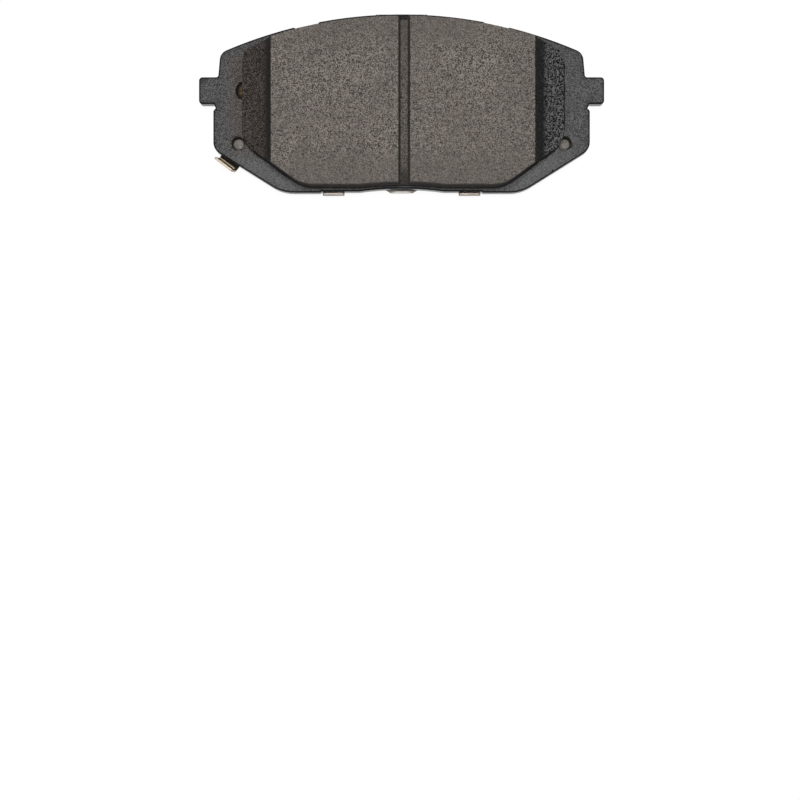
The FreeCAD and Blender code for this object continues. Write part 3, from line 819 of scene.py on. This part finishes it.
def makeFriction():
    # the lengthwise profile, with its hollow ramps and its slot, is carried across the pad between
    # the two long edges of the outline; each section is a box with rounded upper edges
    f = friction
    base, face = frictionBack, frictionFace
    foot = base + f["footHeight"]
    rampEdge = f["half"] - f["rampLength"]
    chord = np.array([f["rampLength"], foot - face])
    reach = np.linalg.norm(chord)
    middle = np.array([rampEdge + f["half"], face + foot]) / 2
    into = np.array([chord[1], -chord[0]]) / reach
    centre = middle - into * math.sqrt(f["rampRadius"] ** 2 - (reach / 2) ** 2)
    start = math.atan2(face - centre[1], rampEdge - centre[0])
    end = math.atan2(foot - centre[1], f["half"] - centre[0])
    start, end = (a + 2 * math.pi if a < 0 else a for a in (start, end))
    ramp = arcRows(centre, f["rampRadius"], start, end, 14)
    slotLeft, slotRight = f["slotOffset"] - f["slotWidth"] / 2, f["slotOffset"] + f["slotWidth"] / 2
    floor = face - f["slotDepth"]
    cutLeft, cutRight = slotLeft - f["offset"], slotRight - f["offset"]
    rows = np.vstack([
        [(-f["half"], base, 0), (-f["half"], foot, 0.15)], mirrored(ramp), [(-rampEdge, face, 0.3)],
        [(cutLeft, face, 0.12), (cutLeft + 0.04, floor, 0.45)],
        [(cutRight - 0.04, floor, 0.45), (cutRight, face, 0.12)],
        [(rampEdge, face, 0.3)], ramp, [(f["half"], foot, 0.15), (f["half"], base, 0)],
    ]) + [f["offset"], 0, 0]
    line, _, at = roundedPath(rows, f["pitch"], closed=False)
    tail = f["footHeight"] + np.array([0.01, 0.03, 0.07, 0.13, 0.21, 0.31, 0.45, 0.65, 0.9, 1.2, 1.6])
    stations = np.unique(np.round(np.concatenate([at, tail, at[-1] - tail]), 4))
    x, z = (np.interp(stations, at, line[:, k]) for k in (0, 1))
    edge, normal, _ = roundedPath(frictionRows(), 0.3, arcSteps=14)
    lower, upper = edge[normal[:, 1] < -1e-4], edge[normal[:, 1] > 1e-4]
    lower, upper = lower[np.argsort(lower[:, 0])], upper[np.argsort(upper[:, 0])]
    yLow, yHigh = (np.interp(x, side[:, 0], side[:, 1])[:, None] for side in (lower, upper))
    z = z[:, None]
    bevel = np.minimum(f["edge"], 0.45 * (z - base))
    t = np.linspace(0, 1, f["across"])[None]
    theta = np.radians([22.5, 45, 67.5, 90])[None]
    down = np.linspace(0, 1, 12)[None, 1:]
    wallTop = z - bevel
    y = np.hstack([
        yLow + bevel + (yHigh - yLow - 2 * bevel) * t, yHigh - bevel + bevel * np.sin(theta),
        yHigh + 0 * down, yLow + 0 * down, yLow + bevel - bevel * np.cos(theta - math.radians(22.5))])
    height = np.hstack([
        z + 0 * t, wallTop + bevel * np.cos(theta),
        wallTop + (base - wallTop) * down, base + (wallTop - base) * (down - down[0, 0]),
        wallTop + bevel * np.sin(theta - math.radians(22.5))])
    vertices = np.stack([x[:, None] + 0 * y, y, height], 2).reshape(-1, 3)
    shell = (vertices, gridFaces(len(x), y.shape[1]), np.zeros((0, 3), int))
    piece = makePiece("frictionBlock", [shell], makeFrictionMaterial(), "friction_block",
                      sharpAngle=50)
    # small chips along the edges, and a slightly uneven face
    points = readPoints(piece.data)
    toEdge = np.minimum(points[:, 1] - np.interp(points[:, 0], lower[:, 0], lower[:, 1]),
                        np.interp(points[:, 0], upper[:, 0], upper[:, 1]) - points[:, 1])
    toSlot = np.minimum(abs(points[:, 0] - slotLeft), abs(points[:, 0] - slotRight))
    toRamp = abs(abs(points[:, 0] - f["offset"]) - rampEdge)
    nearTop = np.clip(1 - (face - points[:, 2]) / 0.9, 0, 1)
    near = np.maximum(np.clip(1 - toEdge / 0.9, 0, 1),
                      nearTop * np.clip(1 - np.minimum(toSlot, toRamp) / 0.6, 0, 1))
    chips = np.clip(smoothNoise(points, 1.1, 11) - 0.15, 0, 1)
    chips = chips + 0.5 * np.clip(smoothNoise(points, 0.6, 12), 0, 1)
    uneven = 0.03 * smoothNoise(points, 1.6, 13) + 0.03 * smoothNoise(points, 0.7, 14)
    free = points[:, 2] > base + 0.02
    moveAlongNormals(piece.data, (uneven - f["chipDepth"] * near * chips) * free)
    finishMesh(piece.data, 50)


bond = {
    "anchorTop": 1.6, "anchorBack": 1.0, "spill": 0.16, "plugRough": 0.25, "plugRim": (2.2, 2.9),
    "tint": (1.15, 0.95, 0.8), "bump": 0.15,
}


def makeBondMaterial():
    # dark brown underlayer, coarser than the friction mix, golden brown where it fills a hole
    made, tree, shader, place = newMaterial("bondLayer", 0.8, specular=0.3)
    grain = use(tree, fineGrain, {"Vector": place, "Scale": 1100.0, "Contrast": 2.6})
    pits = use(tree, flecks, {"Vector": place, "Scale": 700.0, "Share": 0.35, "Size": 0.4})
    colour = blend(tree, grain, shade(0.022, bond["tint"]), shade(0.07, bond["tint"]))
    height = partsOf(tree, place)[2]
    inHole = ramped(tree, height, (plateFront - 0.1) * mm, (plateFront - 0.5) * mm)
    gold = blend(tree, grain, shade(0.014, (1.5, 0.95, 0.4)), shade(0.1, (1.6, 0.95, 0.42)))
    # painted shade: the plug colour turns black with distance from the left anchor's middle, so only that
    # plug keeps a gold middle inside a black rim
    centre = vectorNode(tree, "SUBTRACT", place, tuple(v * mm for v in (*pad["anchors"][0], 0)))
    flat = vectorNode(tree, "MULTIPLY", centre, (1.0, 1.0, 0.0))
    away = vectorNode(tree, "LENGTH", flat, result="Value")
    rimStart, rimEnd = (r * mm for r in bond["plugRim"])
    gold = blend(tree, ramped(tree, away, rimStart, rimEnd), gold, shade(0.006))
    colour = blend(tree, inHole, colour, gold)
    colour = blend(tree, times(tree, pits, 0.6), colour, shade(0.012))
    tree.links.new(colour, shader.inputs["Base Color"])
    bumped(tree, shader, minus(tree, grain, pits), bond["bump"])
    return made


def makeBond():
    # the outline swept from the friction block down to the plate, with a ragged foot, and a rough plug
    # in every anchor hole
    outline, normals, _ = roundedPath(frictionRows(), 0.35)
    high, low = frictionBack, plateFront
    profile = np.array([(-0.4, high), (-0.05, high), (0.0, high - 0.1), (0.02, high - 0.5),
                        (0.03, high - 1.0), (0.06, low + 0.5), (0.1, low + 0.2), (0.14, low), (-0.4, low)])
    body = sheetShell([(outline, normals)], profile)
    plugs = []
    radius = pad["anchorHole"] / 2 - 0.02
    for x, y in pad["anchors"]:
        back, front = plateBack + bond["anchorBack"], plateFront - bond["anchorTop"]
        rows = [(0.0, back, 0), (radius, back, 0.4), (radius, front, 0.4), (0.0, front - 0.2, 0)]
        plugs.append(turnedPart(rows, x, y))
    piece = makePiece("bondLayer", [body] + plugs, makeBondMaterial(), "bond_layer",
                      sharpAngle=60)
    points = readPoints(piece.data)
    foot = np.clip(1 - (points[:, 2] - low) / 1.2, 0, 1) * (points[:, 2] > low - 0.01)
    ragged = bond["spill"] * (foot * smoothNoise(points, 1.3, 21) + 0.4 * smoothNoise(points, 0.7, 22))
    inHole = points[:, 2] < low - 0.05
    wall = ~inHole & (points[:, 2] > low + 0.01) & (points[:, 2] < high - 0.01)
    rough = np.where(inHole & (gapTo(points[:, :2], np.array(pad["anchors"])) < radius - 0.3),
                     bond["plugRough"] * smoothNoise(points, 0.8, 23), 0)
    moveAlongNormals(piece.data, ragged * wall + rough)
    finishMesh(piece.data, 60)


makeFriction()
makeBond()


# shims on the back

innerShim = {
    "half": 53.0, "margin": 1.3, "thickness": 0.6, "corner": 4.0, "lugRadius": 5.2,
    "tabWidth": 8.0, "topHeight": 3.8, "footHeight": 5.2, "topClearance": 0.1, "footClearance": 0.45,
    "bend": 0.5, "topTabAt": 35.2, "footTabAt": 25.3,
    "pale": (0.375, 0.33, 0.295), "deep": (0.32, 0.28, 0.25), "roughness": 0.46,
    "rolling": (60.0, 1500.0, 900.0), "spots": 0.05, "bump": 0.002,
}
outerShim = {
    "half": 48.0, "margin": 3.0, "thickness": 0.5, "corner": 4.0, "lipHeight": 3.0, "bend": 0.55,
    "topBase": 25.6, "topWidth": 19.2, "topClearance": 0.3,
    "footBase": 14.6, "footWidth": 8.4, "footClearance": 0.6,
    "windowLength": 13.0, "windowWidth": 7.0, "windowAt": 27.0, "windowCorner": 2.45,
    "pale": (0.355, 0.33, 0.305), "deep": (0.31, 0.285, 0.265), "roughness": 0.40,
    "rolling": (40.0, 1900.0, 900.0), "spots": 0.04, "bump": 0.002,
}
rubber = {"pale": 0.032, "deep": 0.01, "roughness": 0.65, "bump": 0.03}


def foldedTab(start, reach, height, thickness, bend, halfWidths, corner):
    # a strip that lies flat and then stands up; reach is to its outer face
    middle = thickness / 2
    rows = [(start, middle, 0), (reach - middle, middle, bend), (reach - middle, height, 0)]
    flat = reach - middle - start
    stops = (0.0, flat * 0.62, flat)
    return bentStrip(rows, thickness, stops, halfWidths, corner)


def makeInnerShim():
    s = innerShim
    z, top = innerShimBack, innerShimBack + s["thickness"]
    outline = roundedPath(shimRows(s["half"], s["margin"], s["corner"], s["lugRadius"]), 1.0)[:2]
    hole = circleLoop(rivetX, rivetY, pad["rivetHole"] / 2)
    shells = [sheetShell([outline, hole], edgeProfile(z, top, (0.12, 0.12), 0.12, wallSteps=1, rim=0.08))]
    half = s["tabWidth"] / 2
    floor = pad["crownRadius"] - plate["recessDepth"]
    reach = floor + s["topClearance"] + s["thickness"]
    edge = pad["crownRadius"] - s["margin"]
    offset = math.asin(s["topTabAt"] / pad["crownRadius"])
    for angle in (math.pi / 2 - offset, math.pi / 2 + offset):
        tab = foldedTab(edge - 0.15, reach, s["topHeight"], s["thickness"], s["bend"], (half,) * 3, 0.7)
        shells.append(turned(tab, angle, (crownCentre[0], crownCentre[1], z)))
    low = -(pad["foot"] + pad["stepDepth"])
    for x in (-s["footTabAt"], s["footTabAt"]):
        tab = foldedTab(low - s["margin"] - 0.15, low + s["footClearance"] + s["thickness"], s["footHeight"],
                        s["thickness"], s["bend"], (half,) * 3, 0.5)
        shells.append(turned(tab, -math.pi / 2, (x, 0.0, z)))
    makePiece("innerShim", shells, makeMetal("zincSteel", s), "inner_shim", sharpAngle=45)


def makeOuterShim():
    s = outerShim
    z, top = outerShimBack, outerShimBack + s["thickness"]
    outline = roundedPath(shimRows(s["half"], s["margin"], s["corner"]), 1.0)[:2]
    windows = []
    for x in (-s["windowAt"], s["windowAt"]):
        a, b, r = s["windowLength"] / 2, s["windowWidth"] / 2, s["windowCorner"]
        points, normals, _ = roundedPath([(x - a, -b, r), (x + a, -b, r), (x + a, b, r), (x - a, b, r)], 1.0)
        windows.append((points[::-1], -normals[::-1]))
    shells = [sheetShell([outline] + windows, edgeProfile(z, top, (0.1, 0.1), 0.1, wallSteps=1, rim=0.08))]
    reach = pad["crown"] + s["topClearance"] + s["thickness"]
    lip = foldedTab(pad["crown"] - s["margin"] - 0.45, reach, s["lipHeight"], s["thickness"], s["bend"],
                    (s["topBase"] / 2, s["topBase"] / 2, s["topWidth"] / 2), 0.6)
    shells.append(turned(lip, math.pi / 2, (0.0, 0.0, z)))
    low = -(pad["foot"] + pad["stepDepth"] + pad["archRise"])
    reach = low + s["footClearance"] + s["thickness"]
    lip = foldedTab(low - s["margin"] - 0.15, reach, s["lipHeight"], s["thickness"], s["bend"],
                    (s["footBase"] / 2, s["footBase"] / 2, s["footWidth"] / 2), 0.6)
    shells.append(turned(lip, -math.pi / 2, (0.0, 0.0, z)))
    makePiece("outerShim", shells, makeMetal("stainless", s), "outer_shim", sharpAngle=45)


def makeRubber():
    # thin black damping film with a faint leather grain
    made, tree, shader, place = newMaterial("shimRubber", rubber["roughness"], specular=0.4)
    grain = use(tree, fineGrain, {"Vector": place, "Scale": 2200.0, "Contrast": 1.6})
    colour = blend(tree, grain, shade(rubber["deep"]), shade(rubber["pale"]))
    tree.links.new(colour, shader.inputs["Base Color"])
    bumped(tree, shader, grain, rubber["bump"])
    return made


makeInnerShim()
makeOuterShim()
shimRubber = makeRubber()
for nodeName in ("shim_rubber_plate_side", "shim_rubber_piston_side"):
    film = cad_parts[nodeName]
    film.data.materials.clear()
    film.data.materials.append(shimRubber)
print("shims and films done")


# rivets and wear indicator

rivet = {
    "headRadius": 4.0, "headTop": 0.7, "shankRadius": 2.44, "endRecess": 3.6, "bevel": 0.6, "dish": 0.12,
    "pale": (0.27, 0.25, 0.225), "deep": (0.14, 0.13, 0.115), "roughness": 0.6,
    "rolling": (2500.0, 2500.0, 2500.0), "spots": 0.2, "bump": 0.01,
}
rivetSteel = makeMetal("rivetSteel", rivet)


def makeRivet(name, x, nodeName):
    # a flat head with a rolled rim, a plain shank and a bevelled, slightly dished end
    r = rivet
    end = plateFront - r["endRecess"]
    rows = [(0.0, 0.05, 0), (r["headRadius"] - 1.0, 0.0, 1.0), (r["headRadius"], 0.12, 0.3),
            (r["headRadius"], r["headTop"], 0.15), (r["shankRadius"], r["headTop"], 0.1),
            (r["shankRadius"], end - r["bevel"], 0.2), (r["shankRadius"] - r["bevel"], end, 0.12),
            (r["shankRadius"] - r["bevel"] - 0.5, end - r["dish"], 0.4), (0.0, end - r["dish"], 0)]
    makePiece(name, [turnedPart(rows, x, rivetY)], rivetSteel, nodeName, sharpAngle=40)


indicator = {
    "thickness": 0.8, "width": 8.0, "tail": 4.2, "tailCorner": 3.6, "offset": 0.75, "turn": 5.0,
    "gap": 1.4, "bend": 1.4, "lean": 0.95, "tipCorner": 0.45,
    "pale": (0.6, 0.52, 0.40), "dull": (0.5, 0.42, 0.31), "hollowShade": (0.036, 0.024, 0.0165), "roughness": 0.62,
}
indicatorAngle = math.radians(270 - pad["slantAngle"] - indicator["turn"])


def makeYellowZinc():
    # yellow plating, clean on the tip, with painted brown shade in the hollow of the bend, on the leg's
    # inner face and at one end of the leg
    made, tree, shader, place = newMaterial("yellowZinc", indicator["roughness"], metallic=1.0)
    cos, sin = math.cos(indicatorAngle), math.sin(indicatorAngle)
    fromRivet = vectorNode(tree, "SUBTRACT", place, (-rivetX * mm, rivetY * mm, indicatorBack * mm))
    height = partsOf(tree, fromRivet)[2]
    side = vectorNode(tree, "DOT_PRODUCT", fromRivet, (-sin, cos, 0.0), "Value")
    normal = addNode(tree, "NewGeometry").outputs["Normal"]
    inwards = vectorNode(tree, "DOT_PRODUCT", normal, (-cos, -sin, 1.0), "Value")
    inner = ramped(tree, inwards, 0.3, 0.6)
    leg = times(tree, ramped(tree, height, 2.2 * mm, 2.6 * mm), ramped(tree, height, 8.8 * mm, 8.0 * mm))
    hollow = larger(tree, ramped(tree, height, 0.94 * mm, 0.88 * mm), leg)
    end = times(tree, ramped(tree, side, 3.6 * mm, 4.0 * mm), ramped(tree, height, 9.6 * mm, 9.0 * mm))
    # painted shade: the hollow, the leg's inner face and the far end of the leg
    hollowShade = times(tree, larger(tree, hollow, end), inner)
    cloud = use(tree, patches, {"Vector": place, "Scale": 300.0, "Amount": 0.8})
    pale, dull = shade(1.0, indicator["pale"]), shade(1.0, indicator["dull"])
    colour = blend(tree, times(tree, cloud, 0.5), pale, dull)
    # painted highlight: along the bend's inner curve the plating is made almost non-metallic, so its pale
    # colour shows as a bright line
    bendHighlight = times(tree, ramped(tree, height, 0.88 * mm, 0.94 * mm), ramped(tree, height, 2.6 * mm, 2.2 * mm))
    bendHighlight = times(tree, times(tree, bendHighlight, inner), ramped(tree, side, 4.2 * mm, 3.8 * mm))
    tree.links.new(scaled(tree, bendHighlight, -0.95, 1.0), shader.inputs["Metallic"])
    tree.links.new(blend(tree, times(tree, hollowShade, 0.94), colour, shade(1.0, indicator["hollowShade"])),
         shader.inputs["Base Color"])
    tree.links.new(scaled(tree, hollowShade, 0.25, indicator["roughness"]), shader.inputs["Roughness"])
    return made


def makeIndicator():
    # a strip under the left rivet, bent up past the slanted edge and leaning slightly outwards
    i = indicator
    middle = i["thickness"] / 2
    out = pad["rivetEdge"] + i["gap"] + middle
    rise = indicatorTip - indicatorBack
    rows = [(-i["tail"], middle, 0), (out, middle, i["bend"]), (out + i["lean"], rise, 0)]
    strip = bentStrip(rows, i["thickness"], (0.0, 1.0), (i["width"] / 2,) * 2, i["tipCorner"],
                      i["tailCorner"], pitch=0.4)
    strip[0][:, 1] += i["offset"]
    shell = turned(strip, indicatorAngle, (-rivetX, rivetY, indicatorBack))
    makePiece("wearIndicator", [shell], makeYellowZinc(), "wear_indicator", sharpAngle=45)


makeRivet("indicatorRivet", -rivetX, "indicator_rivet")
makeRivet("shimRivet", rivetX, "shim_rivet")
makeIndicator()


# camera, floor and light

view = {"x": -0.59, "y": -109.8, "z": 697.5, "lens": 83.9}
camera = bpy.data.cameras.new("camera")
camera.lens, camera.sensor_width = view["lens"], 36.0
camera.clip_start, camera.clip_end = 0.01, 50.0
cameraObject = bpy.data.objects.new("camera", camera)
cameraObject.location = (view["x"] * mm, view["y"] * mm, view["z"] * mm)
bpy.context.scene.collection.objects.link(cameraObject)
bpy.context.scene.camera = cameraObject

studio = {
    "floorSize": 8.0, "floorGlow": 1.1, "floorLevel": 0.55,
    "worldLevel": 0.2, "keyPower": 12.0, "keyPlace": (0.0, 0.07, 1.25), "keySize": (0.32, 0.42),
    "fillPower": 1.0, "fillPlace": (-0.9, -0.7, 0.9), "fillSize": (0.6, 0.6),
}


def makeFloor():
    half = studio["floorSize"] / 2
    mesh = bpy.data.meshes.new("floor")
    corners = [(-half, -half, 0), (half, -half, 0), (half, half, 0), (-half, half, 0)]
    mesh.from_pydata(corners, [], [(0, 1, 2, 3)])
    floor = bpy.data.objects.new("floor", mesh)
    bpy.context.scene.collection.objects.link(floor)
    made, tree, shader, _ = newMaterial("floorWhite", 0.8)
    shader.inputs["Base Color"].default_value = shade(studio["floorLevel"])
    # seen directly or mirrored in gloss, the floor is a plain glowing white sheet
    glow = addNode(tree, "Emission", {"Color": shade(1.0), "Strength": studio["floorGlow"]})
    path = addNode(tree, "LightPath").outputs
    seen = larger(tree, path["Is Camera Ray"], times(tree, path["Is Glossy Ray"], 0.8))
    share = times(tree, seen, 0.85)
    mix = addNode(tree, "MixShader", {0: share, 1: shader.outputs[0], 2: glow.outputs[0]})
    tree.links.new(mix.outputs[0], tree.nodes["Material Output"].inputs["Surface"])
    mesh.materials.append(made)


def addLight(name, place, size, power):
    # a rectangular lamp that faces the pad
    lamp = bpy.data.lights.new(name, "AREA")
    lamp.shape, lamp.size, lamp.size_y, lamp.energy = "RECTANGLE", size[0], size[1], power
    holder = bpy.data.objects.new(name, lamp)
    holder.location = place
    holder.rotation_euler = (-Vector(place)).to_track_quat("-Z", "Y").to_euler()
    bpy.context.scene.collection.objects.link(holder)


def makeWorld():
    world = bpy.data.worlds.new("studio")
    bpy.context.scene.world = world
    world.use_nodes = True
    tree = world.node_tree
    soft = tree.nodes["Background"]
    soft.inputs["Color"].default_value = shade(1.0)
    soft.inputs["Strength"].default_value = studio["worldLevel"]
    white = addNode(tree, "Background", {"Color": shade(1.0), "Strength": 1.0})
    seen = addNode(tree, "LightPath").outputs["Is Camera Ray"]
    mix = addNode(tree, "MixShader", {0: seen, 1: soft.outputs[0], 2: white.outputs[0]})
    tree.links.new(mix.outputs[0], tree.nodes["World Output"].inputs["Surface"])


makeFloor()
makeWorld()
addLight("key", studio["keyPlace"], studio["keySize"], studio["keyPower"])
addLight("fill", studio["fillPlace"], studio["fillSize"], studio["fillPower"])
bpy.context.scene.view_settings.view_transform = "Standard"
print("camera, floor and lights placed")
